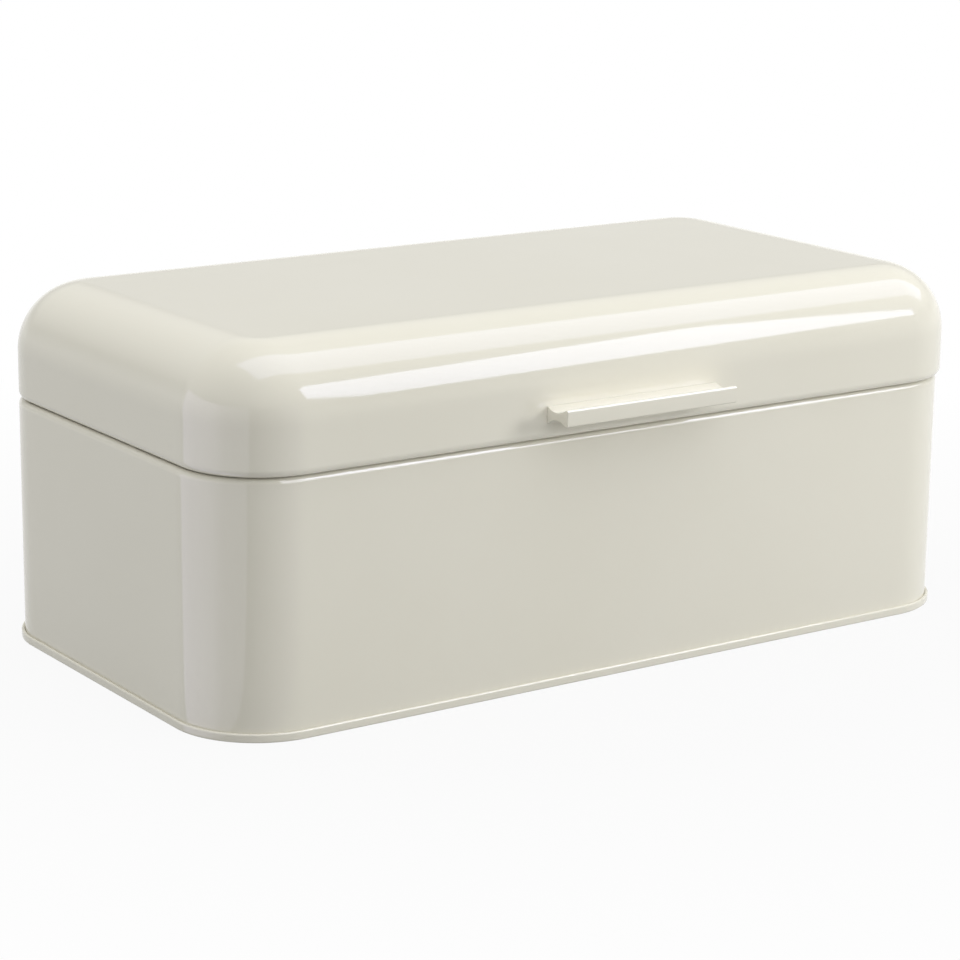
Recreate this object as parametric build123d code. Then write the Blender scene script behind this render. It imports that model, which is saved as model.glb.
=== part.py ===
"""Bread box: a rolled steel tub with a double-seamed base, and a domed lid hinged along its back edge.

Frame: millimetres, +Z up. The origin is the middle of the tub's footprint on the table.
The front, with the handle, faces -Y, and X runs along the front from left to right.
"""

from build123d import *
from math import atan2, cos, radians, sin, sqrt
import os

# Tub, rolled from steel sheet
BOX_WIDTH = 420.0  # across the tub's outer wall, left to right
BOX_DEPTH = 220.0  # across the tub's outer wall, front to back
TUB_HEIGHT = 115.8  # table to the top of the tub's rolled rim
TUB_SHEET = 0.5
TUB_CURL_RADIUS = 3.0  # outside of the rolled rim
TUB_CURL_LEG = 2.5  # straight end of the roll, inside the tub
LAP_WIDTH = 8.0  # where the wall's two ends overlap at the back
LAP_CLEARANCE = 0.15  # end of the overlap to the seam

# Base, pressed from the same sheet
FLOOR_HEIGHT = 4.5  # table to the underside of the base's border
FLOOR_BEND = 1.2
PANEL_BORDER = 15.0  # tub wall to the foot of the base's raised panel
PANEL_RISE = 2.0
PANEL_BEND = 1.0
PANEL_SLOPE = 45.0

# Double seam that locks the base to the wall
SEAM_SLACK = 0.05  # between neighbouring layers
SEAM_FOOT_BEND = 0.25
HOOK_LENGTH = 1.7  # straight part of the wall's hook
HOOK_SLACK = 0.15  # from a hook's tip to the fold that it reaches into

# Lid, deep drawn in one piece
LID_GAP = 0.4  # rim to lid at rest
LID_SHEET = 0.6
LID_CURL_RADIUS = 3.5
LID_CURL_LEG = 2.0
LID_SKIRT = 18.3  # upright part of the lid's wall
LID_TOP_RADIUS = 32.0  # from the wall into the flat top
TOP_LAND = 8.0  # corner radius that is left in the flat top
FRONT_OVERHANG = 2.8  # lid ahead of the tub at the front

# Vent holes in the back wall
VENT_DIAMETER = 4.0
VENT_COUNT = 5  # on each side of the overlap
VENT_PITCH = 13.0
VENT_START = 26.0  # middle of the back to the first hole
VENT_DROP = 5.0  # hinge leaf's lower edge to the row of holes

# Hinges
HINGE_INSET = 55.0  # end of the back's flat to the middle of a hinge
HINGE_WIDTH = 42.0
LEAF_SHEET = 0.8
LEAF_EDGE = 3.0  # leaf's free edge to the end of the lid's upright wall
LEAF_CORNER = 3.0
PIN_DIAMETER = 3.0
PIN_SLACK = 0.05  # radial, between pin and knuckle
PIN_HEAD_DIAMETER = 4.6
PIN_HEAD_HEIGHT = 1.0
PIN_END_PLAY = 0.2
KNUCKLE_GAP = 0.4
CURL_ANGLE = 300.0
OPEN_ANGLE = 100.0  # lid leaning back on its stops
STOP_REACH = 7.0  # hinge axis to the tip of a stop lug
STOP_SLACK = 0.1

# Rivets that hold the leaves
RIVET_DIAMETER = 3.0
RIVET_SIDE = 9.0  # rivet to the leaf's side
RIVET_EDGE = 5.5  # rivet to the leaf's free edge
RIVET_HEAD_DIAMETER = 6.0
RIVET_HEAD_HEIGHT = 1.5
RIVET_TAIL_DIAMETER = 4.6
RIVET_TAIL_HEIGHT = 1.0
HOLE_SLACK = 0.05  # radial, round rivets and screws

# Handle, cut from an extruded bar
HANDLE_LENGTH = 95.0
HANDLE_DEPTH = 15.5
HANDLE_HEIGHT = 7.5
HANDLE_WAIST = 3.6
HANDLE_LIFT = 0.8  # front edge above the back edge
HANDLE_HEEL = 0.5  # flat edge against the lid
HANDLE_LIP = 1.9  # flat edge at the front
HANDLE_ROUND = 0.8
HANDLE_DROP = 1.2  # middle of the lid's upright wall to the middle of the handle's back

# Screws and washers that hold the handle
SCREW_INSET = 15.5  # handle's end to the screw
SCREW_DIAMETER = 3.0
SCREW_BITE = 3.0  # length inside the handle
SCREW_SPARE = 0.4  # tip to the bottom of its hole
SCREW_HEAD_DIAMETER = 5.6
SCREW_RIM_HEIGHT = 1.1
SCREW_CROWN_HEIGHT = 1.1
RECESS_LENGTH = 3.2
RECESS_WIDTH = 0.7
RECESS_DEPTH = 1.1
WASHER_DIAMETER = 8.5
WASHER_HEIGHT = 0.7

# Soft pads on the inner half of the front rim, which the lid comes down on
PAD_INSET = 45.0  # end of the front's flat to the middle of a pad
PAD_LENGTH = 12.0
PAD_SPREAD = 70.0  # arc of the rim that a pad covers, inward from its crest
PAD_GLUE = 0.05
PAD_CLEARANCE = 0.3  # pad to lid at rest

# Walls and levels that several pieces share
corner_radius = LID_TOP_RADIUS + TOP_LAND
flat_half = BOX_WIDTH / 2 - corner_radius
back = BOX_DEPTH / 2
tub_front = -BOX_DEPTH / 2
tub_inside = back - TUB_SHEET
lid_front = tub_front - FRONT_OVERHANG
lid_depth = back - lid_front
lid_inside = back - LID_SHEET
lid_bottom = TUB_HEIGHT + LID_GAP
skirt_low = lid_bottom + LID_CURL_RADIUS
skirt_high = skirt_low + LID_SKIRT
lid_top = skirt_high + LID_TOP_RADIUS

# Seam layers, outward from the wall's outer face, and the seam's folds
seam_pitch = TUB_SHEET + SEAM_SLACK
well_wall = -TUB_SHEET - seam_pitch
base_hook = SEAM_SLACK
wall_hook = SEAM_SLACK + seam_pitch
seam_outside = SEAM_SLACK + 2 * seam_pitch + TUB_SHEET
hook_fold = wall_hook / 2
fold_level = seam_pitch + TUB_SHEET + hook_fold
hook_top = fold_level + HOOK_LENGTH
seam_height = hook_top + HOOK_SLACK + hook_fold + TUB_SHEET

# Hinge axis, leaves, handle and hole sizes
bore_radius = PIN_DIAMETER / 2 + PIN_SLACK
knuckle_radius = bore_radius + LEAF_SHEET
hinge_x = flat_half - HINGE_INSET
hinge_y = back + knuckle_radius
hinge_z = TUB_HEIGHT + LID_GAP / 2
leaf_reach = skirt_high - LEAF_EDGE - hinge_z
rivet_reach = leaf_reach - RIVET_EDGE
rivet_x = HINGE_WIDTH / 2 - RIVET_SIDE
rivet_hole = RIVET_DIAMETER + 2 * HOLE_SLACK
screw_x = HANDLE_LENGTH / 2 - SCREW_INSET
screw_hole = SCREW_DIAMETER + 2 * HOLE_SLACK
handle_z = (skirt_low + skirt_high) / 2 - HANDLE_DROP
hands = {"left": -1, "right": 1}


def beside(point, heading, offset):
    """Point that lies `offset` to the left of another, for someone facing along the heading."""
    return point[0] - offset * sin(radians(heading)), point[1] + offset * cos(radians(heading))


def arc_about(centre, radius, first, turn):
    """Arc round a centre, from the angle `first` through `turn` degrees."""
    angles = [radians(first + turn * share) for share in (0, 0.5, 1)]
    return ThreePointArc(*[(centre[0] + radius * cos(a), centre[1] + radius * sin(a)) for a in angles])


def bent_strip(point, heading, moves, sheet):
    """Section of a folded sheet. One face leaves the point along the heading and makes the moves in turn:
    a number is a straight run, a (radius, angle) pair is a bend, and a positive angle turns left.
    The other face lies one sheet thickness to the left."""
    near, far = [], []
    for move in moves:
        if isinstance(move, tuple):
            radius, turn = move
            hand = 1 if turn > 0 else -1
            centre = beside(point, heading, hand * radius)
            first = heading - hand * 90
            near.append(arc_about(centre, radius, first, turn))
            far.append(arc_about(centre, radius - hand * sheet, first, turn))
            heading += turn
            point = beside(centre, heading, -hand * radius)
        else:
            end = beside(point, heading - 90, move)
            near.append(Line(point, end))
            far.append(Line(beside(point, heading, sheet), beside(end, heading, sheet)))
            point = end
    ends = [Line(near[0] @ 0, far[0] @ 0), Line(near[-1] @ 1, far[-1] @ 1)]
    return make_face(near + far + ends)


def carry_round(section, width, depth):
    """Carry a wall section round a rounded rectangle: a straight run, then a quarter turn, four times.
    In the section, x is measured outward from the corner's axis and y is the height."""
    profile = Plane.XZ * section
    turn = revolve(profile, Axis.Z, 90)
    pieces = []
    for quarter, (hand_x, hand_y) in enumerate(((1, 1), (-1, 1), (-1, -1), (1, -1))):
        side = width if quarter % 2 else depth
        straight = extrude(profile, amount=side - 2 * corner_radius, dir=(0, -1, 0))
        corner = Pos(hand_x * (width / 2 - corner_radius), hand_y * (depth / 2 - corner_radius))
        pieces += [corner * Rot(Z=90 * quarter) * piece for piece in (turn, straight)]
    return pieces[0].fuse(*pieces[1:])


def flat_panel(width, depth, inset, low, sheet):
    """Flat sheet that closes a rounded rectangle inside a carried section."""
    outline = RectangleRounded(width - 2 * inset, depth - 2 * inset, corner_radius - inset)
    return Pos(Z=low) * extrude(outline, amount=sheet)


def round_bar(diameter, x, z, start, end):
    """Round bar along Y, which also serves as the cutter for a hole."""
    return Pos(x, (start + end) / 2, z) * Rot(X=90) * Cylinder(diameter / 2, end - start)


def hole_through(diameter, x, z, start, end):
    """Cutter for a hole along Y that passes right through a sheet lying between start and end."""
    return round_bar(diameter, x, z, start - diameter, end + diameter)


def dome_edge(radius, height, low):
    """Half outline of a shallow dome about the Y axis, from its rim to its crown."""
    ball = (radius**2 + height**2) / (2 * height)
    lean = atan2(radius, ball - height) / 2
    middle = (ball * sin(lean), low + height - ball * (1 - cos(lean)))
    return ThreePointArc((radius, low), middle, (0, low + height))


def turned(points, *arcs):
    """Solid of revolution about the Y axis: lines through the points, closed by the arcs."""
    return revolve(make_face([Polyline(*points), *arcs]), Axis.Y, 360)


def rivet_spots(hand, level):
    """X and Z of one leaf's rivets."""
    return [(hand * hinge_x + offset, level) for offset in (-rivet_x, rivet_x)]


def tub_wall():
    """Wall band: hooked outward at the bottom, rolled inward at the top, overlapping itself at the back."""
    upright = TUB_HEIGHT - TUB_CURL_RADIUS - fold_level
    section = bent_strip(
        (corner_radius + wall_hook, hook_top),
        -90,
        [HOOK_LENGTH, (hook_fold, -180), upright, (TUB_CURL_RADIUS, 180), TUB_CURL_LEG],
        TUB_SHEET,
    )
    lap_low = seam_height + LAP_CLEARANCE
    lap_height = TUB_HEIGHT - TUB_CURL_RADIUS - lap_low
    lap = Pos(0, back + TUB_SHEET / 2, lap_low + lap_height / 2) * Box(LAP_WIDTH, TUB_SHEET, lap_height)
    vent_z = hinge_z - leaf_reach - VENT_DROP
    holes = []
    for hand in hands.values():
        for step in range(VENT_COUNT):
            vent_x = hand * (VENT_START + VENT_PITCH * step)
            holes.append(hole_through(VENT_DIAMETER, vent_x, vent_z, tub_inside, back))
        for x, z in rivet_spots(hand, hinge_z - rivet_reach):
            holes.append(hole_through(rivet_hole, x, z, tub_inside, back))
    return carry_round(section, BOX_WIDTH, BOX_DEPTH) + lap - holes


def base_panel():
    """Pressed base: a raised panel, a well that drops down inside the wall, and the seam's outer folds."""
    slope = radians(PANEL_SLOPE)
    bends = 2 * PANEL_BEND + TUB_SHEET
    slope_length = (PANEL_RISE - bends * (1 - cos(slope))) / sin(slope)
    panel_inset = PANEL_BORDER + bends * sin(slope) + slope_length * cos(slope)
    panel_level = FLOOR_HEIGHT + PANEL_RISE
    foot_radius = TUB_SHEET + SEAM_FOOT_BEND
    rim_fold = (seam_outside - base_hook) / 2
    section = bent_strip(
        (corner_radius - panel_inset, panel_level),
        0,
        [
            (PANEL_BEND, -PANEL_SLOPE),
            slope_length,
            (PANEL_BEND + TUB_SHEET, PANEL_SLOPE),
            PANEL_BORDER + well_wall - FLOOR_BEND,
            (FLOOR_BEND, -90),
            FLOOR_HEIGHT - FLOOR_BEND - foot_radius,
            (foot_radius, 90),
            seam_outside - well_wall - 2 * foot_radius,
            (foot_radius, 90),
            seam_height - rim_fold - foot_radius,
            (rim_fold, 180),
            seam_height - rim_fold - fold_level - HOOK_SLACK,
        ],
        TUB_SHEET,
    )
    panel = flat_panel(BOX_WIDTH, BOX_DEPTH, panel_inset, panel_level, TUB_SHEET)
    return carry_round(section, BOX_WIDTH, BOX_DEPTH) + panel


def lid_shell():
    """Drawn lid: lower edge rolled inward, short upright wall, wide radius into a flat top."""
    section = bent_strip(
        (corner_radius - 2 * LID_CURL_RADIUS, skirt_low + LID_CURL_LEG),
        -90,
        [LID_CURL_LEG, (LID_CURL_RADIUS, 180), LID_SKIRT, (LID_TOP_RADIUS, 90)],
        LID_SHEET,
    )
    top = flat_panel(BOX_WIDTH, lid_depth, LID_TOP_RADIUS, lid_top - LID_SHEET, LID_SHEET)
    shell = Pos(Y=(back + lid_front) / 2) * (carry_round(section, BOX_WIDTH, lid_depth) + top)
    holes = []
    for hand in hands.values():
        holes.append(hole_through(screw_hole, hand * screw_x, handle_z, lid_front, lid_front + LID_SHEET))
        for x, z in rivet_spots(hand, hinge_z + rivet_reach):
            holes.append(hole_through(rivet_hole, x, z, lid_inside, back))
    return shell - holes


def leaf_plate():
    """Flat of a hinge leaf, below the hinge axis, with its free corners rounded."""
    height = leaf_reach - knuckle_radius - KNUCKLE_GAP
    outline = Pos(Y=height / 2 - leaf_reach) * Rectangle(HINGE_WIDTH, height)
    outline = fillet(outline.vertices().sort_by(Axis.Y)[:2], LEAF_CORNER)
    for x in (-rivet_x, rivet_x):
        outline -= Pos(x, -rivet_reach) * Circle(rivet_hole / 2)
    return Pos(Y=-bore_radius) * extrude(Plane.XZ * outline, amount=LEAF_SHEET)


def knuckle(centre, width):
    """Neck of a leaf that rises from the plate and curls round the pin."""
    neck = knuckle_radius + 2 * KNUCKLE_GAP
    section = bent_strip((-bore_radius, -neck), 90, [neck, (bore_radius, -CURL_ANGLE)], LEAF_SHEET)
    return Pos(X=centre - width / 2) * extrude(Plane.YZ * section, amount=width)


def tub_leaf():
    """Leaf on the tub, about the hinge axis: a plate with a knuckle at each end."""
    width = HINGE_WIDTH / 3
    return leaf_plate() + [knuckle(side * width, width) for side in (-1, 1)]


def lid_leaf():
    """Leaf on the lid, about the hinge axis: the middle knuckle and the lug that stops the lid."""
    width = HINGE_WIDTH / 3 - 2 * KNUCKLE_GAP
    leaf = mirror(leaf_plate() + knuckle(0, width), about=Plane.XY)
    lug_y = STOP_SLACK - bore_radius + LEAF_SHEET / 2
    lug_z = -(STOP_REACH + bore_radius) / 2
    lug = Pos(0, lug_y, lug_z) * Box(width, LEAF_SHEET, STOP_REACH - bore_radius)
    return leaf + Rot(X=OPEN_ANGLE) * lug


def hinge_pin():
    """Pin along X with a domed head at each end."""
    shank, head = PIN_DIAMETER / 2, PIN_HEAD_DIAMETER / 2
    seat = HINGE_WIDTH / 2 + PIN_END_PLAY
    tip = seat + PIN_HEAD_HEIGHT
    stem = [(0, tip), (0, 0), (shank, 0), (shank, seat), (head, seat)]
    half = turned(stem, dome_edge(head, PIN_HEAD_HEIGHT, seat))
    return Rot(Z=-90) * (half + mirror(half, about=Plane.XZ))


def rivet(grip):
    """Domed rivet along Y, seated on y = 0, with its tail closed on the far side of the grip."""
    shank, head, tail = RIVET_DIAMETER / 2, RIVET_HEAD_DIAMETER / 2, RIVET_TAIL_DIAMETER / 2
    crown, end = RIVET_HEAD_HEIGHT, -grip - RIVET_TAIL_HEIGHT
    stem = [(0, crown), (0, end), (tail, end), (tail, -grip), (shank, -grip), (shank, 0), (head, 0)]
    return turned(stem, dome_edge(head, crown, 0))


def rivet_pair(hand, level, wall_sheet):
    """The two rivets of one leaf, through the leaf and the wall behind it."""
    one = rivet(LEAF_SHEET + wall_sheet)
    return Compound([Pos(x, back + LEAF_SHEET, z) * one for x, z in rivet_spots(hand, level)])


def handle_bar():
    """Extruded grip with a lip at the front, hollowed above and below its waist for the fingers."""
    half, waist = HANDLE_HEIGHT / 2, HANDLE_WAIST / 2
    heel, lip, front = -HANDLE_HEEL, HANDLE_LIP - HANDLE_DEPTH, -HANDLE_DEPTH
    middle, rise = (heel + lip) / 2, HANDLE_LIFT / 2
    low, high = HANDLE_LIFT - half, HANDLE_LIFT + half
    section = make_face(
        [
            Polyline((heel, half), (0, half), (0, -half), (heel, -half)),
            ThreePointArc((heel, -half), (middle, rise - waist), (lip, low)),
            Polyline((lip, low), (front, low), (front, high), (lip, high)),
            ThreePointArc((lip, high), (middle, rise + waist), (heel, half)),
        ]
    )
    section = fillet(section.vertices().filter_by(lambda corner: corner.X < middle), HANDLE_ROUND)
    bar = extrude(Plane.YZ * section, amount=HANDLE_LENGTH / 2, both=True)
    hole_end = -SCREW_BITE - SCREW_SPARE
    holes = [round_bar(screw_hole, hand * screw_x, 0, hole_end, 0) for hand in hands.values()]
    return bar - holes


def handle_screw():
    """Pan head screw along Y, seated on y = 0, pointing forward through the washer and the lid."""
    shank, head = SCREW_DIAMETER / 2, SCREW_HEAD_DIAMETER / 2
    crown = SCREW_RIM_HEIGHT + SCREW_CROWN_HEIGHT
    tip = -WASHER_HEIGHT - LID_SHEET - SCREW_BITE
    stem = [(0, crown), (0, tip), (shank, tip), (shank, 0), (head, 0), (head, SCREW_RIM_HEIGHT)]
    screw = turned(stem, dome_edge(head, SCREW_CROWN_HEIGHT, SCREW_RIM_HEIGHT))
    slot = Pos(Y=crown) * Box(RECESS_LENGTH, 2 * RECESS_DEPTH, RECESS_WIDTH)
    return screw - slot - Rot(Y=90) * slot


def handle_washer():
    """Washer along Y between the lid's inner face, at y = 0, and the screw's head."""
    disc = round_bar(WASHER_DIAMETER, 0, 0, 0, WASHER_HEIGHT)
    return disc - hole_through(screw_hole, 0, 0, 0, WASHER_HEIGHT)


def lid_pad():
    """Soft pad over the rim's inner half, as thick as the lid's rolled edge above it allows."""
    rim = (tub_front + TUB_CURL_RADIUS, TUB_HEIGHT - TUB_CURL_RADIUS)
    lid = (lid_front + LID_CURL_RADIUS, skirt_low)
    lid_reach = LID_CURL_RADIUS + PAD_CLEARANCE
    outer = lid[1] - rim[1] - sqrt(lid_reach**2 - (lid[0] - rim[0]) ** 2)
    inner = TUB_CURL_RADIUS + PAD_GLUE
    start = -PAD_SPREAD
    section = bent_strip(beside(rim, start, outer), start + 180, [(outer, PAD_SPREAD)], outer - inner)
    return Pos(X=-PAD_LENGTH / 2) * extrude(Plane.YZ * section, amount=PAD_LENGTH)


def assembly():
    """Every piece in its place, by name."""
    handle = Pos(0, lid_front, handle_z)
    pieces = {
        "tub_wall": tub_wall(),
        "base_panel": base_panel(),
        "lid_shell": lid_shell(),
        "handle_bar": handle * handle_bar(),
    }
    for name, hand in hands.items():
        hinge = Pos(hand * hinge_x, hinge_y, hinge_z)
        pieces[f"hinge_tub_leaf_{name}"] = hinge * tub_leaf()
        pieces[f"hinge_lid_leaf_{name}"] = hinge * lid_leaf()
        pieces[f"hinge_pin_{name}"] = hinge * hinge_pin()
        pieces[f"tub_rivets_{name}"] = rivet_pair(hand, hinge_z - rivet_reach, TUB_SHEET)
        pieces[f"lid_rivets_{name}"] = rivet_pair(hand, hinge_z + rivet_reach, LID_SHEET)
        washer = handle * Pos(hand * screw_x, LID_SHEET, 0)
        pieces[f"handle_washer_{name}"] = washer * handle_washer()
        pieces[f"handle_screw_{name}"] = washer * Pos(Y=WASHER_HEIGHT) * handle_screw()
        pieces[f"lid_pad_{name}"] = Pos(X=hand * (flat_half - PAD_INSET)) * lid_pad()
    return pieces


os.makedirs("parts", exist_ok=True)
for name, piece in assembly().items():
    export_step(piece, f"parts/{name}.step")
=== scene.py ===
"""Looks of the bread box: smooth sheet-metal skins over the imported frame, finishes, a studio and a camera.

Metres, +Z up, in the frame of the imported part. The front, with the handle, faces -Y.
"""

from math import acos, atan2, ceil, cos, hypot, pi, radians, remainder, sin, sqrt

import bmesh
import bpy
from mathutils import Matrix, Vector


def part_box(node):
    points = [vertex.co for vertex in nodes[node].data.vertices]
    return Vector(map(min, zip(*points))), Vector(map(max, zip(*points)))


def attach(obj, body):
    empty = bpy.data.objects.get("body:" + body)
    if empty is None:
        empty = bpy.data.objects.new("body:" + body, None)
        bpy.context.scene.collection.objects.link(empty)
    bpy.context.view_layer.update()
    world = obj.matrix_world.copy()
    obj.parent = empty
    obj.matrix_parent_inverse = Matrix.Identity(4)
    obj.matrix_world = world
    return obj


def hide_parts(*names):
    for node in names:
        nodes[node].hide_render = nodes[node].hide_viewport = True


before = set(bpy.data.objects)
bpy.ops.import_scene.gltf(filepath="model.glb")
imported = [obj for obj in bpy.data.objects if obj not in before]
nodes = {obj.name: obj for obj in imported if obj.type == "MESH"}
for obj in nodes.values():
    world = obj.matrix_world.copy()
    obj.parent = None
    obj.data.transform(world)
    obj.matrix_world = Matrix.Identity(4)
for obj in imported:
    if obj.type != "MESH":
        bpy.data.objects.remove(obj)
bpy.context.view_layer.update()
scene = bpy.context.scene

# Sheet metal
CORNER_RADIUS = 0.040
TUB_SHEET = 0.0005
LID_SHEET = 0.0006
TUB_CURL_RADIUS = 0.0030
TUB_CURL_LEG = 0.0025
LID_CURL_RADIUS = 0.0035
LID_CURL_LEG = 0.0020
LID_TOP_RADIUS = 0.032
LAP_WIDTH = 0.008
LAP_EDGE = 0.0002

# Base and the double seam that locks it to the wall
SEAM_SLACK = 0.00005
SEAM_FOOT_BEND = 0.00025
HOOK_LENGTH = 0.0017
HOOK_SLACK = 0.00015
FLOOR_HEIGHT = 0.0045
FLOOR_BEND = 0.0012
PANEL_BORDER = 0.015
PANEL_RISE = 0.0020
PANEL_BEND = 0.0010
PANEL_SLOPE = 45

# Vent holes in the back wall
VENT_DIAMETER = 0.004
VENT_COUNT = 5
VENT_PITCH = 0.013
VENT_START = 0.026
VENT_DROP = 0.005
VENT_SIDES = 32

# Handle section
HANDLE_WAIST = 0.0036
HANDLE_LIFT = 0.0008
HANDLE_HEEL = 0.0005
HANDLE_LIP = 0.0019
HANDLE_ROUND = 0.0008
HANDLE_EDGE = 0.0002
HANDLE_ARC_STEPS = 32
HANDLE_ROUND_STEPS = 10

# How finely curves, flats and softened edges are divided
CHORD_ERROR = 0.000006
LEAST_BEND_STEPS = 3
FLAT_STEP = 0.012
FLAT_EDGE = 0.0003  # row beside a bend, which keeps the bend's shading off the flat
EDGE_STEPS = 3
EDGE_PROFILE = 0.5  # round
SHARP_ANGLE = radians(35)
WELD = 0.000001

# Levels and faces read from the frame
lid_low, lid_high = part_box("lid_shell")
grip_low, grip_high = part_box("handle_bar")
leaf_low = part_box("hinge_tub_leaf_left")[0]
half_width = lid_high.x
back = lid_high.y
tub_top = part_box("tub_wall")[1].z
lid_front = lid_low.y
lid_skirt = lid_high.z - lid_low.z - LID_CURL_RADIUS - LID_TOP_RADIUS

# Seam layers, outward from the wall's outer face, and the seam's folds
seam_pitch = TUB_SHEET + SEAM_SLACK
well_wall = -TUB_SHEET - seam_pitch
wall_hook = SEAM_SLACK + seam_pitch
seam_outside = SEAM_SLACK + 2 * seam_pitch + TUB_SHEET
hook_fold = wall_hook / 2
fold_level = seam_pitch + TUB_SHEET + hook_fold
hook_top = fold_level + HOOK_LENGTH
seam_height = hook_top + HOOK_SLACK + hook_fold + TUB_SHEET


# Sheet-metal outlines and meshes
def bend_steps(radius, turn):
    """Straight pieces that follow an arc within the chord error."""
    step = 2 * acos(1 - CHORD_ERROR / max(radius, 2 * CHORD_ERROR))
    return max(LEAST_BEND_STEPS, ceil(abs(turn) / step))


def flat_stops(length):
    """Distances along a flat run: a close row at each end and even steps between them."""
    if length < 4 * FLAT_EDGE:
        return [0, length]
    inner = length - 2 * FLAT_EDGE
    count = ceil(inner / FLAT_STEP)
    return [0, *[FLAT_EDGE + inner * i / count for i in range(count + 1)], length]


def folded(point, heading, moves, sheet):
    """Near and far face of a folded sheet's section, from its first edge to its last.
    The near face leaves the point along the heading and makes the moves in turn. A number is a straight
    run, a (radius, degrees) pair is a bend, and a positive angle turns left. The far face lies on the
    left of the near one."""
    near, far = [], []
    x, z = point
    heading = radians(heading)
    for move in moves:
        if isinstance(move, tuple):
            radius, turn = move[0], radians(move[1])
            hand = 1 if turn > 0 else -1
            centre_x = x - hand * radius * sin(heading)
            centre_z = z + hand * radius * cos(heading)
            steps = bend_steps(radius, turn)
            for i in range(steps + 1):
                angle = heading + turn * i / steps
                out_x, out_z = hand * sin(angle), -hand * cos(angle)
                inner = radius - hand * sheet
                near.append((centre_x + radius * out_x, centre_z + radius * out_z))
                far.append((centre_x + inner * out_x, centre_z + inner * out_z))
            heading += turn
        else:
            side_x, side_z = -sheet * sin(heading), sheet * cos(heading)
            for stop in flat_stops(move):
                spot_x, spot_z = x + stop * cos(heading), z + stop * sin(heading)
                near.append((spot_x, spot_z))
                far.append((spot_x + side_x, spot_z + side_z))
        x, z = near[-1]
    return near, far


def way_round(width, depth):
    """Stops round a rounded rectangle, as the corner axis in shares of the flats and the outward angle."""
    corners = ((1, 1), (-1, 1), (-1, -1), (1, -1))
    corner_steps = bend_steps(CORNER_RADIUS, pi / 2)
    stops = []
    for quarter, (hand_x, hand_y) in enumerate(corners):
        next_x, next_y = corners[(quarter + 1) % 4]
        stops += [(hand_x, hand_y, (quarter + i / corner_steps) * pi / 2) for i in range(corner_steps)]
        length = (depth if quarter % 2 else width) - 2 * CORNER_RADIUS
        for stop in flat_stops(length)[:-1]:
            share = stop / length
            x = hand_x + (next_x - hand_x) * share
            y = hand_y + (next_y - hand_y) * share
            stops.append((x, y, (quarter + 1) * pi / 2))
    return stops


def skin(bm, spot_of, rows, stops, closed):
    """Quads between neighbouring rows of vertices that run round the stops. Returns the rows' vertices."""
    rings = [[bm.verts.new(spot_of(row, stop)) for stop in stops] for row in rows]
    pairs = list(zip(rings, rings[1:]))
    if closed:
        pairs.append((rings[-1], rings[0]))
    count = len(stops)
    for one, two in pairs:
        for i in range(count):
            j = (i + 1) % count
            bm.faces.new((one[i], one[j], two[j], two[i]))
    return rings


def carry_round(bm, section, width, depth, middle_y, closed):
    """Carry a section round a rounded rectangle. Its x is measured outward from the corner's axis."""
    reach_x, reach_y = width / 2 - CORNER_RADIUS, depth / 2 - CORNER_RADIUS

    def spot(row, stop):
        out, z = row
        x, y, angle = stop
        return x * reach_x + out * cos(angle), middle_y + y * reach_y + out * sin(angle), z

    skin(bm, spot, section, way_round(width, depth), closed)


def close_flat(bm, width, depth, middle_y, edge_radius, level):
    """Flat sheet inside a carried section, in rings that shrink to the middle line."""
    inset = CORNER_RADIUS - edge_radius
    half_x, half_y = width / 2 - inset, depth / 2 - inset
    shrink = [stop / half_y for stop in flat_stops(half_y)]

    def spot(share, stop):
        x, y, angle = stop
        radius = edge_radius * (1 - share)
        ring_y = half_y * (1 - share)
        ring_x = half_x - half_y * share
        across = x * (ring_x - radius) + radius * cos(angle)
        along = middle_y + y * (ring_y - radius) + radius * sin(angle)
        return across, along, level

    skin(bm, spot, shrink, way_round(width, depth), False)


def soften(bm, edges, size):
    """Round edges off by a small size."""
    bmesh.ops.bevel(
        bm,
        geom=edges,
        offset=size,
        segments=EDGE_STEPS,
        profile=EDGE_PROFILE,
        affect="EDGES",
    )


def mesh_from(name, bm):
    """Mesh data from a built mesh, which is used up."""
    mesh = bpy.data.meshes.new(name)
    bm.to_mesh(mesh)
    bm.free()
    return mesh


def add_object(name, data):
    """New object in the scene."""
    obj = bpy.data.objects.new(name, data)
    scene.collection.objects.link(obj)
    return obj


def smooth(mesh):
    """Smooth shading, broken at sharp edges."""
    mesh.shade_smooth()
    mesh.set_sharp_from_angle(angle=SHARP_ANGLE)


def piece(name, bm, body, slot, material, *replaced):
    """Turn a built mesh into a smooth piece that rides on a body and stands for CAD nodes."""
    bmesh.ops.remove_doubles(bm, verts=bm.verts, dist=WELD)
    bmesh.ops.dissolve_degenerate(bm, edges=bm.edges, dist=WELD)
    bmesh.ops.recalc_face_normals(bm, faces=bm.faces)
    mesh = mesh_from(name, bm)
    smooth(mesh)
    mesh.materials.append(material)
    obj = add_object(name, mesh)
    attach(obj, body)
    if replaced:
        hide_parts(*replaced)
    return obj


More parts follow.
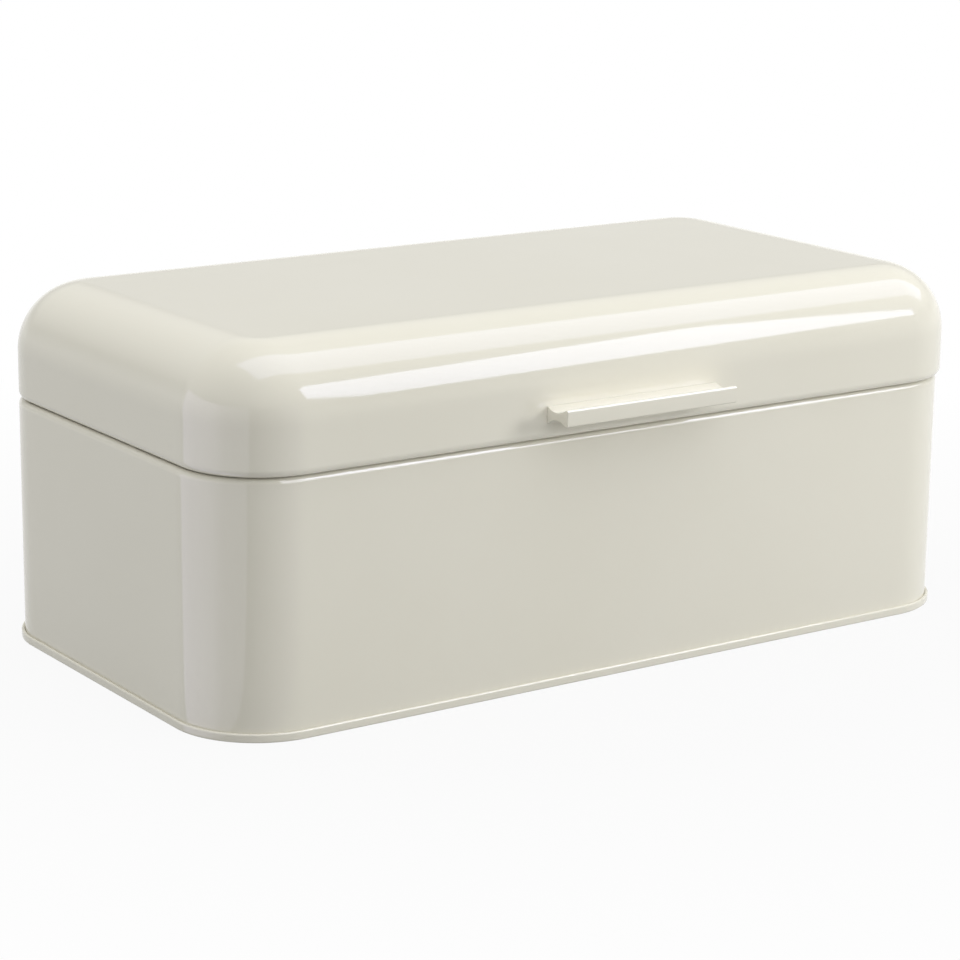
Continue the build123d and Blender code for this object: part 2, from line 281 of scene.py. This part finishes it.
# Finishes: pairs of colours, ranges of roughness and depths of relief
NOISE_MIDDLE = (0.3, 0.7)
MIX_ONE, MIX_TWO, MIX_RESULT = 6, 7, 2  # colour sockets of the mix node
CREAM = ((0.735, 0.712, 0.615), (0.750, 0.728, 0.636))
CREAM_ROUGHNESS = (0.06, 0.09)
CREAM_WAVES = 0.00008
CREAM_PEEL = 0.0000025
CREAM_IOR = 1.5
ZINC = ((0.50, 0.51, 0.53), (0.66, 0.67, 0.68))
ZINC_ROUGHNESS = (0.24, 0.40)
ZINC_LINES = 0.000006
ZINC_LINE_STRETCH = (0.06, 1, 1)
NYLON = ((0.70, 0.69, 0.63), (0.78, 0.77, 0.72))
NYLON_ROUGHNESS = (0.38, 0.52)
NYLON_GRAIN = 0.000004
NYLON_FLOW_STRETCH = (1, 1, 0.3)
NYLON_DEPTH = (0.001, 0.001, 0.0008)
NYLON_MILKINESS = 0.15
SILICONE = ((0.66, 0.66, 0.63), (0.74, 0.74, 0.71))
SILICONE_ROUGHNESS = (0.42, 0.58)
SILICONE_GRAIN = 0.000006
SILICONE_DEPTH = (0.0015, 0.0015, 0.0013)
SILICONE_MILKINESS = 0.3


def new_material(name):
    """Principled material with object coordinates: its tree, shader and coordinate socket."""
    material = bpy.data.materials.new(name)
    material.use_nodes = True
    tree = material.node_tree
    shader = tree.nodes["Principled BSDF"]
    place = tree.nodes.new("ShaderNodeTexCoord").outputs["Object"]
    return material, tree, shader, place


def noise(tree, place, scale, detail=2.0, roughness=0.5, stretch=None):
    """Noise at a number of waves per metre, optionally stretched along the axes."""
    if stretch:
        mapping = tree.nodes.new("ShaderNodeMapping")
        mapping.inputs["Scale"].default_value = stretch
        tree.links.new(place, mapping.inputs["Vector"])
        place = mapping.outputs["Vector"]
    node = tree.nodes.new("ShaderNodeTexNoise")
    node.inputs["Scale"].default_value = scale
    node.inputs["Detail"].default_value = detail
    node.inputs["Roughness"].default_value = roughness
    tree.links.new(place, node.inputs["Vector"])
    return node.outputs["Fac"]


def ranged(tree, value, source, target):
    """Map one range of values to another."""
    node = tree.nodes.new("ShaderNodeMapRange")
    for name, number in zip(("From Min", "From Max", "To Min", "To Max"), (*source, *target)):
        node.inputs[name].default_value = number
    tree.links.new(value, node.inputs["Value"])
    return node.outputs["Result"]


def spread(tree, value, target):
    """Map the middle of a noise's range to a range of values."""
    return ranged(tree, value, NOISE_MIDDLE, target)


def blend_colours(tree, value, colours):
    """Colour that goes from the first to the second of a pair with a noise's middle range."""
    node = tree.nodes.new("ShaderNodeMix")
    node.data_type = "RGBA"
    node.inputs[MIX_ONE].default_value = (*colours[0], 1)
    node.inputs[MIX_TWO].default_value = (*colours[1], 1)
    tree.links.new(spread(tree, value, (0, 1)), node.inputs["Factor"])
    return node.outputs[MIX_RESULT]


def bump(tree, height, depth, below=None):
    """Relief of a given depth in metres, laid over another one."""
    node = tree.nodes.new("ShaderNodeBump")
    node.inputs["Strength"].default_value = 1.0
    node.inputs["Distance"].default_value = depth
    tree.links.new(height, node.inputs["Height"])
    if below:
        tree.links.new(below, node.inputs["Normal"])
    return node.outputs["Normal"]


def cream_coat():
    """Glossy cream stove enamel on pressed sheet: slow waves of the metal and fine orange peel."""
    material, tree, shader, place = new_material("cream_coat")
    tone = noise(tree, place, scale=9, detail=3)
    tree.links.new(blend_colours(tree, tone, CREAM), shader.inputs["Base Color"])
    sheen = noise(tree, place, scale=60, detail=4, roughness=0.6)
    tree.links.new(spread(tree, sheen, CREAM_ROUGHNESS), shader.inputs["Roughness"])
    waves = bump(tree, noise(tree, place, scale=11, detail=1), CREAM_WAVES)
    peel = bump(tree, noise(tree, place, scale=700), CREAM_PEEL, waves)
    tree.links.new(peel, shader.inputs["Normal"])
    shader.inputs["IOR"].default_value = CREAM_IOR
    return material


def zinc_steel():
    """Zinc plated steel: blue-grey, with fine drawn lines and cloudy patches."""
    material, tree, shader, place = new_material("zinc_steel")
    cloud = noise(tree, place, scale=260, detail=4, roughness=0.6)
    tree.links.new(blend_colours(tree, cloud, ZINC), shader.inputs["Base Color"])
    tree.links.new(spread(tree, cloud, ZINC_ROUGHNESS), shader.inputs["Roughness"])
    lines = noise(tree, place, scale=900, stretch=ZINC_LINE_STRETCH)
    tree.links.new(bump(tree, lines, ZINC_LINES), shader.inputs["Normal"])
    shader.inputs["Metallic"].default_value = 1.0
    return material


def nylon():
    """Natural nylon washers: milky, with faint moulding flow."""
    material, tree, shader, place = new_material("nylon")
    flow = noise(tree, place, scale=400, detail=3, stretch=NYLON_FLOW_STRETCH)
    tree.links.new(blend_colours(tree, flow, NYLON), shader.inputs["Base Color"])
    tree.links.new(spread(tree, flow, NYLON_ROUGHNESS), shader.inputs["Roughness"])
    tree.links.new(bump(tree, noise(tree, place, scale=1800), NYLON_GRAIN), shader.inputs["Normal"])
    shader.inputs["Subsurface Weight"].default_value = NYLON_MILKINESS
    shader.inputs["Subsurface Radius"].default_value = NYLON_DEPTH
    return material


def silicone():
    """Soft translucent pads with a matt moulded skin."""
    material, tree, shader, place = new_material("silicone")
    mottle = noise(tree, place, scale=500, detail=3)
    tree.links.new(blend_colours(tree, mottle, SILICONE), shader.inputs["Base Color"])
    tree.links.new(spread(tree, mottle, SILICONE_ROUGHNESS), shader.inputs["Roughness"])
    tree.links.new(bump(tree, noise(tree, place, scale=2200), SILICONE_GRAIN), shader.inputs["Normal"])
    shader.inputs["Subsurface Weight"].default_value = SILICONE_MILKINESS
    shader.inputs["Subsurface Radius"].default_value = SILICONE_DEPTH
    return material


coat = cream_coat()
zinc = zinc_steel()
small_finishes = {
    "hinge_pin": zinc,
    "tub_rivets": zinc,
    "lid_rivets": zinc,
    "handle_screw": zinc,
    "handle_washer": nylon(),
    "lid_pad": silicone(),
}


# Skins of the main pieces
def lid_skin():
    """Drawn lid: rolled lower edge, short upright wall, wide radius and a flat top."""
    bm = bmesh.new()
    width, depth = 2 * half_width, back - lid_front
    middle_y = (back + lid_front) / 2
    edge_radius = CORNER_RADIUS - LID_TOP_RADIUS
    moves = [LID_CURL_LEG, (LID_CURL_RADIUS, 180), lid_skirt, (LID_TOP_RADIUS, 90)]
    start = (CORNER_RADIUS - 2 * LID_CURL_RADIUS, lid_low.z + LID_CURL_RADIUS + LID_CURL_LEG)
    near, far = folded(start, -90, moves, LID_SHEET)
    carry_round(bm, far[::-1] + near, width, depth, middle_y, False)
    for level in (lid_high.z, lid_high.z - LID_SHEET):
        close_flat(bm, width, depth, middle_y, edge_radius, level)
    piece("lid_skin", bm, "lid", "cream_coat", coat, "lid_shell")


def tub_skin():
    """Wall band: hooked into the seam at the foot and rolled in at the rim, with vents behind."""
    bm = bmesh.new()
    upright = tub_top - TUB_CURL_RADIUS - fold_level
    moves = [HOOK_LENGTH, (hook_fold, -180), upright, (TUB_CURL_RADIUS, 180), TUB_CURL_LEG]
    near, far = folded((CORNER_RADIUS + wall_hook, hook_top), -90, moves, TUB_SHEET)
    carry_round(bm, far[::-1] + near, 2 * half_width, 2 * back, 0, True)
    cut_vents(piece("tub_skin", bm, "tub", "cream_coat", coat, "tub_wall"))


def cut_vents(wall):
    """Cut the two rows of vent holes through the back wall."""
    bm = bmesh.new()
    row_z = leaf_low.z - VENT_DROP
    for hand in (-1, 1):
        for step in range(VENT_COUNT):
            spot = Matrix.Translation((hand * (VENT_START + VENT_PITCH * step), back, row_z))
            bmesh.ops.create_cone(
                bm,
                cap_ends=True,
                segments=VENT_SIDES,
                radius1=VENT_DIAMETER / 2,
                radius2=VENT_DIAMETER / 2,
                depth=VENT_DIAMETER,
                matrix=spot @ Matrix.Rotation(pi / 2, 4, "X"),
            )
    cutter = add_object("vent_cutters", mesh_from("vent_cutters", bm))
    cut = wall.modifiers.new("vents", "BOOLEAN")
    cut.operation = "DIFFERENCE"
    cut.solver = "EXACT"
    cut.object = cutter
    graph = bpy.context.evaluated_depsgraph_get()
    shaped = bpy.data.meshes.new_from_object(wall.evaluated_get(graph))
    wall.modifiers.remove(cut)
    wall.data = shaped
    bpy.data.objects.remove(cutter)
    smooth(shaped)


def lap_skin():
    """Welded overlap of the wall's two ends: one sheet proud of the back wall, with soft edges."""
    bm = bmesh.new()
    low = seam_height + LAP_EDGE
    high = tub_top - TUB_CURL_RADIUS
    inner, outer = back - TUB_SHEET / 2, back + TUB_SHEET
    size = Matrix.Diagonal((LAP_WIDTH, outer - inner, high - low, 1))
    middle = Matrix.Translation((0, (inner + outer) / 2, (low + high) / 2))
    bmesh.ops.create_cube(bm, size=1, matrix=middle @ size)
    soften(bm, bm.edges, LAP_EDGE)
    piece("lap_skin", bm, "tub", "cream_coat", coat)


def base_skin():
    """Pressed base: raised panel, border, a well inside the wall and the rounded outer fold of the seam."""
    bm = bmesh.new()
    slope = radians(PANEL_SLOPE)
    bends = 2 * PANEL_BEND + TUB_SHEET
    slope_length = (PANEL_RISE - bends * (1 - cos(slope))) / sin(slope)
    panel_inset = PANEL_BORDER + bends * sin(slope) + slope_length * cos(slope)
    panel_level = FLOOR_HEIGHT + PANEL_RISE
    foot_radius = TUB_SHEET + SEAM_FOOT_BEND
    rim_fold = (seam_outside - SEAM_SLACK) / 2
    moves = [
        (PANEL_BEND, -PANEL_SLOPE),
        slope_length,
        (PANEL_BEND + TUB_SHEET, PANEL_SLOPE),
        PANEL_BORDER + well_wall - FLOOR_BEND,
        (FLOOR_BEND, -90),
        FLOOR_HEIGHT - FLOOR_BEND - foot_radius,
        (foot_radius, 90),
        seam_outside - well_wall - 2 * foot_radius,
        (foot_radius, 90),
        seam_height - rim_fold - foot_radius,
        (rim_fold, 180),
        seam_height - rim_fold - fold_level - HOOK_SLACK,
    ]
    edge_radius = CORNER_RADIUS - panel_inset
    near, far = folded((edge_radius, panel_level), 0, moves, TUB_SHEET)
    carry_round(bm, near + far[::-1], 2 * half_width, 2 * back, 0, False)
    for level in (panel_level, panel_level + TUB_SHEET):
        close_flat(bm, 2 * half_width, 2 * back, 0, edge_radius, level)
    piece("base_skin", bm, "tub", "cream_coat", coat, "base_panel")


def arc_through(start, middle, end, steps):
    """Points after the start along the arc through three points."""
    (ax, ay), (bx, by), (cx, cy) = start, middle, end
    twice = 2 * (ax * (by - cy) + bx * (cy - ay) + cx * (ay - by))
    a2, b2, c2 = ax * ax + ay * ay, bx * bx + by * by, cx * cx + cy * cy
    centre_x = (a2 * (by - cy) + b2 * (cy - ay) + c2 * (ay - by)) / twice
    centre_y = (a2 * (cx - bx) + b2 * (ax - cx) + c2 * (bx - ax)) / twice
    radius = hypot(ax - centre_x, ay - centre_y)
    first = atan2(ay - centre_y, ax - centre_x)
    turn = remainder(atan2(cy - centre_y, cx - centre_x) - first, 2 * pi)
    angles = [first + turn * i / steps for i in range(1, steps + 1)]
    return [(centre_x + radius * cos(angle), centre_y + radius * sin(angle)) for angle in angles]


def rounded_corner(corner, towards_one, towards_two, radius):
    """Points of a round between two edges that leave a corner at right angles."""
    start = [c + radius * t for c, t in zip(corner, towards_one)]
    end = [c + radius * t for c, t in zip(corner, towards_two)]
    cut = radius * (1 - sqrt(0.5))
    middle = [c + cut * (one + two) for c, one, two in zip(corner, towards_one, towards_two)]
    return [tuple(start), *arc_through(start, middle, end, HANDLE_ROUND_STEPS)]


def handle_skin():
    """Extruded grip with a round lip at the front, a hollow above and below, and soft cut ends."""
    bm = bmesh.new()
    low, high = grip_low.z, grip_high.z
    rear, front = grip_high.y, grip_low.y
    heel, lip = rear - HANDLE_HEEL, front + HANDLE_LIP
    heel_high, lip_low = high - HANDLE_LIFT, low + HANDLE_LIFT
    middle_y, middle_z = (heel + lip) / 2, (low + high) / 2
    waist_low = (middle_y, middle_z - HANDLE_WAIST / 2)
    waist_high = (middle_y, middle_z + HANDLE_WAIST / 2)
    outline = [(rear, heel_high), (rear, low), (heel, low)]
    outline += arc_through((heel, low), waist_low, (lip, lip_low), HANDLE_ARC_STEPS)
    outline += rounded_corner((front, lip_low), (1, 0), (0, 1), HANDLE_ROUND)
    outline += rounded_corner((front, high), (0, -1), (1, 0), HANDLE_ROUND)
    outline += [(lip, high)]
    outline += arc_through((lip, high), waist_high, (heel, heel_high), HANDLE_ARC_STEPS)
    rows = [grip_low.x + stop for stop in flat_stops(grip_high.x - grip_low.x)]
    rings = skin(bm, lambda x, spot: (x, *spot), rows, outline, False)
    for ring in (rings[0], rings[-1]):
        bm.faces.new(ring)
    bmesh.ops.recalc_face_normals(bm, faces=bm.faces)
    soften(bm, [e for e in bm.edges if e.calc_face_angle(0) > SHARP_ANGLE], HANDLE_EDGE)
    piece("handle_skin", bm, "lid", "cream_coat", coat, "handle_bar")


lid_skin()
tub_skin()
lap_skin()
base_skin()
handle_skin()

for name, node in nodes.items():
    finish = next((m for start, m in small_finishes.items() if name.startswith(start)), coat)
    for material_slot in node.material_slots:
        material_slot.material = finish


# Camera
CAMERA_AIM = Vector((-0.0049, 0.0, 0.0677))
CAMERA_DISTANCE = 1.4245
CAMERA_AZIMUTH = -34.68
CAMERA_ELEVATION = 14.34
CAMERA_ROLL = 0.69
CAMERA_LENS = 110.47
SENSOR = 36.0

# Dome: brightness overhead and, in mirrors, at the horizon; the fades go by the sine of the elevation
DOME_TOP = 1.71
DOME_HORIZON = 1.0
HORIZON_FADE = (0.03, 0.22)
ZENITH_FADE = (0.35, 0.75)
ZENITH_DIM = (1.0, 0.35)

# Floor: grey paper under a veil of white, whose strength goes by the distance from the middle
FLOOR_REACH = 20.0
FLOOR_COLOUR = (0.43, 0.43, 0.43)
VEIL_REACH = (0.22, 0.60)
VEIL = (0.92, 1.0)

# Card round the near corner, with its brightness as (azimuth, brightness) pairs
CARD_CORNER = Vector((-0.2, -0.09, 0.001))
CARD_RADIUS = 0.35
CARD_HEIGHT = 0.25
CARD_STEP = 2.0
CARD_TINT = (0.86, 0.82, 1.0)
CARD_SHADES = ((-139, 2.1), (-105, 2.2), (-90, 2.0), (-72, 1.2), (-41, 0.9), (-41, 0.0), (25, 0.8))

# Lamps: colours, and the places of the two that face down
WHITE = (1, 1, 1)
KEY_TINT = (0.72, 0.75, 1.0)
TOP_TINT = (0.64, 0.67, 1.0)
TOP_LOW, TOP_HIGH = (-0.44, -0.48), (2.0, 0.10)
TOP_LEVEL = 1.0
RIM_TINT = (0.9, 0.9, 1.0)
RIM_SHIFT = 0.03  # to the right
RIM_NEAR, RIM_FAR = 0.01, 0.17  # in front of the lid
RIM_RISE = 0.025  # above the tub's rim


def direction(azimuth, elevation):
    """Unit vector from the object; azimuth 0 is the front and 90 the right."""
    a, e = radians(azimuth), radians(elevation)
    return Vector((sin(a) * cos(e), -cos(a) * cos(e), sin(e)))


def look_at(obj, target, azimuth, elevation, distance, roll):
    """Stand a lamp or camera off from a target, facing it, and roll it about its line of sight."""
    away = direction(azimuth, elevation)
    obj.location = target + away * distance
    facing = away.to_track_quat("Z", "Y").to_matrix()
    obj.rotation_euler = (facing @ Matrix.Rotation(radians(roll), 3, "Z")).to_euler()


def camera():
    """Camera at the photograph's place, with a little roll and no shift."""
    data = bpy.data.cameras.new("camera")
    data.lens = CAMERA_LENS
    data.sensor_width = SENSOR
    eye = add_object("camera", data)
    look_at(eye, CAMERA_AIM, CAMERA_AZIMUTH, CAMERA_ELEVATION, CAMERA_DISTANCE, CAMERA_ROLL)
    scene.camera = eye


def area_lamp(name, size, radiance, tint, matt, mirror):
    """Rectangular lamp, unseen by the camera. It can be kept off matt surfaces or out of reflections."""
    data = bpy.data.lights.new(name, "AREA")
    data.shape = "RECTANGLE"
    data.size, data.size_y = size
    data.color = tint
    data.energy = radiance * pi * size[0] * size[1]
    lamp = add_object(name, data)
    lamp.visible_camera = False
    lamp.visible_diffuse = matt
    lamp.visible_glossy = mirror
    return lamp


def softbox(name, azimuth, elevation, distance, size, radiance, roll=0, tint=WHITE, matt=True, mirror=True):
    """Lamp that faces the box from a direction, at the level of the lid's lower edge."""
    lamp = area_lamp(name, size, radiance, tint, matt, mirror)
    look_at(lamp, Vector((0, 0, lid_low.z)), azimuth, elevation, distance, roll)


def ceiling_box(name, low, high, level, radiance, tint):
    """Lamp that faces straight down and only shows in reflections."""
    size = (high[0] - low[0], high[1] - low[1])
    lamp = area_lamp(name, size, radiance, tint, matt=False, mirror=True)
    lamp.location = ((low[0] + high[0]) / 2, (low[1] + high[1]) / 2, level)


def bare_material(name):
    """Material with no shader yet: the material, its tree and its surface socket."""
    material = bpy.data.materials.new(name)
    material.use_nodes = True
    tree = material.node_tree
    tree.nodes.remove(tree.nodes["Principled BSDF"])
    return material, tree, tree.nodes["Material Output"].inputs["Surface"]


def corner_card():
    """Card that only shows in reflections: a fan on the floor round the near corner, and a curved wall.
    Its brightness goes evenly from each pair of the shades to the next."""
    bm = bmesh.new()
    levels = []
    for (start, one), (end, two) in zip(CARD_SHADES, CARD_SHADES[1:]):
        steps = ceil((end - start) / CARD_STEP)
        for i in range(steps):
            azimuths = [start + (end - start) * j / steps for j in (i, i + 1)]
            rim = [CARD_CORNER + CARD_RADIUS * direction(azimuth, 0) for azimuth in azimuths]
            low = [bm.verts.new(v) for v in rim]
            high = [bm.verts.new((v.x, v.y, CARD_HEIGHT)) for v in rim]
            bm.faces.new((bm.verts.new(CARD_CORNER), *low))
            bm.faces.new((*low, *high[::-1]))
            levels += 2 * [one + (two - one) * (i + 0.5) / steps]
    mesh = mesh_from("corner_card", bm)
    mesh.attributes.new("brightness", "FLOAT", "FACE").data.foreach_set("value", levels)
    card = add_object("corner_card", mesh)
    card.visible_camera = False
    card.visible_diffuse = False
    card.visible_shadow = False
    material, tree, surface = bare_material("corner_card")
    glow = tree.nodes.new("ShaderNodeEmission")
    glow.inputs["Color"].default_value = (*CARD_TINT, 1)
    level = tree.nodes.new("ShaderNodeAttribute")
    level.attribute_name = "brightness"
    tree.links.new(level.outputs["Fac"], glow.inputs["Strength"])
    tree.links.new(glow.outputs["Emission"], surface)
    mesh.materials.append(material)


def combine(tree, operation, one, two):
    """Result of a math operation on two sockets."""
    node = tree.nodes.new("ShaderNodeMath")
    node.operation = operation
    tree.links.new(one, node.inputs[0])
    tree.links.new(two, node.inputs[1])
    return node.outputs["Value"]


def mirror_ray(tree):
    """1 for rays that a mirror or glass sends on, and 0 for the rest."""
    path = tree.nodes.new("ShaderNodeLightPath")
    return combine(tree, "MAXIMUM", path.outputs["Is Glossy Ray"], path.outputs["Is Transmission Ray"])


def camera_ray(tree):
    """1 for rays straight from the camera, and 0 for the rest."""
    return tree.nodes.new("ShaderNodeLightPath").outputs["Is Camera Ray"]


def soft_world():
    """Studio dome that brightens with height. Mirrors see it with a white horizon and a dim top, and the
    camera sees it as white."""
    world = bpy.data.worlds.new("studio")
    scene.world = world
    world.use_nodes = True
    tree = world.node_tree
    split = tree.nodes.new("ShaderNodeSeparateXYZ")
    tree.links.new(tree.nodes.new("ShaderNodeTexCoord").outputs["Generated"], split.inputs["Vector"])
    height = split.outputs["Z"]
    dome = ranged(tree, height, (0, 1), (0, DOME_TOP))
    haze = ranged(tree, height, HORIZON_FADE, (DOME_HORIZON, 0))
    dim = ranged(tree, height, ZENITH_FADE, ZENITH_DIM)
    dome = combine(tree, "MULTIPLY", dome, combine(tree, "POWER", dim, mirror_ray(tree)))
    mirrored = combine(tree, "ADD", dome, combine(tree, "MULTIPLY", haze, mirror_ray(tree)))
    sky = tree.nodes["Background"]
    sky.inputs["Color"].default_value = (*WHITE, 1)
    tree.links.new(combine(tree, "MAXIMUM", mirrored, camera_ray(tree)), sky.inputs["Strength"])


def white_floor():
    """Pale floor under a veil of white, which is thinnest near the box and keeps its shadow there."""
    bm = bmesh.new()
    bmesh.ops.create_grid(bm, x_segments=1, y_segments=1, size=FLOOR_REACH)
    mesh = mesh_from("floor", bm)
    floor = add_object("floor", mesh)
    material, tree, surface = bare_material("floor")
    paper = tree.nodes.new("ShaderNodeBsdfDiffuse")
    paper.inputs["Color"].default_value = (*FLOOR_COLOUR, 1)
    white = tree.nodes.new("ShaderNodeEmission")
    away = tree.nodes.new("ShaderNodeVectorMath")
    away.operation = "LENGTH"
    tree.links.new(tree.nodes.new("ShaderNodeTexCoord").outputs["Object"], away.inputs[0])
    veil = ranged(tree, away.outputs["Value"], VEIL_REACH, VEIL)
    seen = combine(tree, "MAXIMUM", camera_ray(tree), mirror_ray(tree))
    mix = tree.nodes.new("ShaderNodeMixShader")
    tree.links.new(combine(tree, "MULTIPLY", veil, seen), mix.inputs["Fac"])
    tree.links.new(paper.outputs["BSDF"], mix.inputs[1])
    tree.links.new(white.outputs["Emission"], mix.inputs[2])
    tree.links.new(mix.outputs["Shader"], surface)
    mesh.materials.append(material)


camera()
soft_world()
white_floor()
softbox(
    "key_box",
    azimuth=45,
    elevation=14,
    distance=1.5,
    size=(0.46, 0.38),
    radiance=13.8,
    mirror=False,
)
softbox(
    "key_gloss",
    azimuth=35.5,
    elevation=29,
    distance=1.09,
    size=(0.52, 0.42),
    radiance=6.0,
    roll=6.8,
    tint=KEY_TINT,
    matt=False,
)
ceiling_box("top_gloss", TOP_LOW, TOP_HIGH, TOP_LEVEL, radiance=2.2, tint=TOP_TINT)
ceiling_box(
    "rim_gloss",
    low=(RIM_SHIFT - half_width, lid_front - RIM_FAR),
    high=(RIM_SHIFT + half_width, lid_front - RIM_NEAR),
    level=tub_top + RIM_RISE,
    radiance=5.6,
    tint=RIM_TINT,
)
softbox("fill_box", azimuth=-120, elevation=12, distance=1.5, size=(0.9, 0.7), radiance=0.25)
corner_card()
scene.view_settings.view_transform = "Standard"
